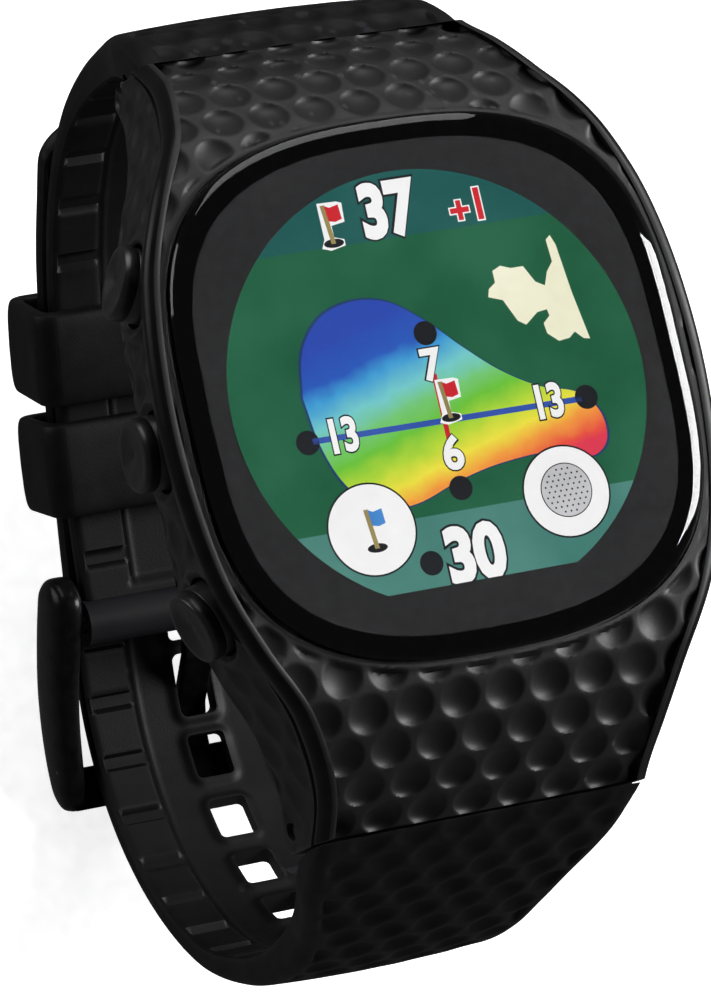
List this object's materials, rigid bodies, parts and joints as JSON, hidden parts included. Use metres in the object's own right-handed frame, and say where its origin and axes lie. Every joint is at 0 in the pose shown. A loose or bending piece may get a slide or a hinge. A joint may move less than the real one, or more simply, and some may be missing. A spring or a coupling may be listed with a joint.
{
  "type": "golf gps watch",
  "caption": "Wrist watch for golf with a dimpled case, rounded-square cover glass over a round display, side push buttons, and a buckled dimpled rubber strap with keepers.",
  "frame": {"origin": "centre of the flat outer face of the case back, where it rests on the wrist", "axes": "+Z out of the display, +Y towards 12 o'clock, +X towards 3 o'clock"},
  "size_m": [0.0442, 0.0746, 0.0711],
  "materials": {
    "shell": "fine matte texture with satin rails",
    "strap": "matte silicone rubber, dimpled",
    "glass": "polished",
    "gasket": "matte",
    "display": "lit panel",
    "white_part": "matte",
    "circuit_board": "solder mask",
    "flex": "satin",
    "bright_steel": "fine brushed",
    "dark_steel": "satin black coating",
    "gold_plate": "polished",
    "button": "satin"
  },
  "bodies": {
    "watch": {"top_cover": "shell", "mid_case": "shell", "case_back": "shell", "lcd_frame": "shell", "cover_glass": "glass", "glass_gasket": "gasket", "case_back_gasket": "gasket", "lcd_panel": "display", "backlight": "white_part", "gps_antenna": "white_part", "display_flex": "flex", "main_pcb": "circuit_board", "shield_can": "bright_steel", "battery": "bright_steel", "vibration_motor": "bright_steel", "strap_short": "strap", "strap_long": "strap", "keeper_fixed": "strap", "buckle_bar": "dark_steel", "charging_contact_1": "gold_plate", "charging_contact_2": "gold_plate", "charging_contact_3": "gold_plate", "charging_contact_4": "gold_plate", "back_screw_12_left": "bright_steel", "back_screw_12_right": "bright_steel", "spring_bar_tube_12": "bright_steel", "back_screw_6_left": "bright_steel", "back_screw_6_right": "bright_steel", "spring_bar_tube_6": "bright_steel", "button_seal_up": "gasket", "tact_switch_up": "bright_steel", "button_seal_enter": "gasket", "tact_switch_enter": "bright_steel", "button_seal_down": "gasket", "tact_switch_down": "bright_steel"},
    "button_up": {"button_up": "button", "button_clip_up": "bright_steel"},
    "button_enter": {"button_enter": "button", "button_clip_enter": "bright_steel"},
    "button_down": {"button_down": "button", "button_clip_down": "bright_steel"},
    "spring_bar_tip_12_left": {"spring_bar_tip_12_left": "bright_steel"},
    "spring_bar_tip_12_right": {"spring_bar_tip_12_right": "bright_steel"},
    "spring_bar_tip_6_left": {"spring_bar_tip_6_left": "bright_steel"},
    "spring_bar_tip_6_right": {"spring_bar_tip_6_right": "bright_steel"},
    "buckle_frame": {"buckle_frame": "dark_steel"},
    "buckle_tang": {"buckle_tang": "dark_steel"},
    "keeper_free": {"keeper_free": "strap"}
  },
  "joints": [
    {"name": "press_up", "type": "slide", "parent": "watch", "child": "button_up", "axis": [0.9397, -0.342, 0], "range_m": [0, 0.0007], "stiffness_N_per_m": 600, "springref_m": -0.001},
    {"name": "press_enter", "type": "slide", "parent": "watch", "child": "button_enter", "axis": [1, 0, 0], "range_m": [0, 0.0007], "stiffness_N_per_m": 600, "springref_m": -0.001},
    {"name": "press_down", "type": "slide", "parent": "watch", "child": "button_down", "axis": [0.9397, 0.342, 0], "range_m": [0, 0.0007], "stiffness_N_per_m": 600, "springref_m": -0.001},
    {"name": "retract_tip_12_left", "type": "slide", "parent": "watch", "child": "spring_bar_tip_12_left", "axis": [1, 0, 0], "range_m": [0, 0.0022], "stiffness_N_per_m": 400, "springref_m": -0.002},
    {"name": "retract_tip_12_right", "type": "slide", "parent": "watch", "child": "spring_bar_tip_12_right", "axis": [-1, 0, 0], "range_m": [0, 0.0022], "stiffness_N_per_m": 400, "springref_m": -0.002},
    {"name": "retract_tip_6_left", "type": "slide", "parent": "watch", "child": "spring_bar_tip_6_left", "axis": [1, 0, 0], "range_m": [0, 0.0022], "stiffness_N_per_m": 400, "springref_m": -0.002},
    {"name": "retract_tip_6_right", "type": "slide", "parent": "watch", "child": "spring_bar_tip_6_right", "axis": [-1, 0, 0], "range_m": [0, 0.0022], "stiffness_N_per_m": 400, "springref_m": -0.002},
    {"name": "swing_buckle", "type": "hinge", "parent": "watch", "child": "buckle_frame", "pos_m": [0, -0.005, -0.0479], "axis": [1, 0, 0], "range_deg": [0, 3]},
    {"name": "lift_tang", "type": "hinge", "parent": "buckle_frame", "child": "buckle_tang", "pos_m": [0, -0.005, -0.0479], "axis": [1, 0, 0], "range_deg": [0, 3]},
    {"name": "slide_keeper", "type": "slide", "parent": "watch", "child": "keeper_free", "axis": [0, 0.9093, 0.4161], "range_m": [0, 0.003]}
  ]
}
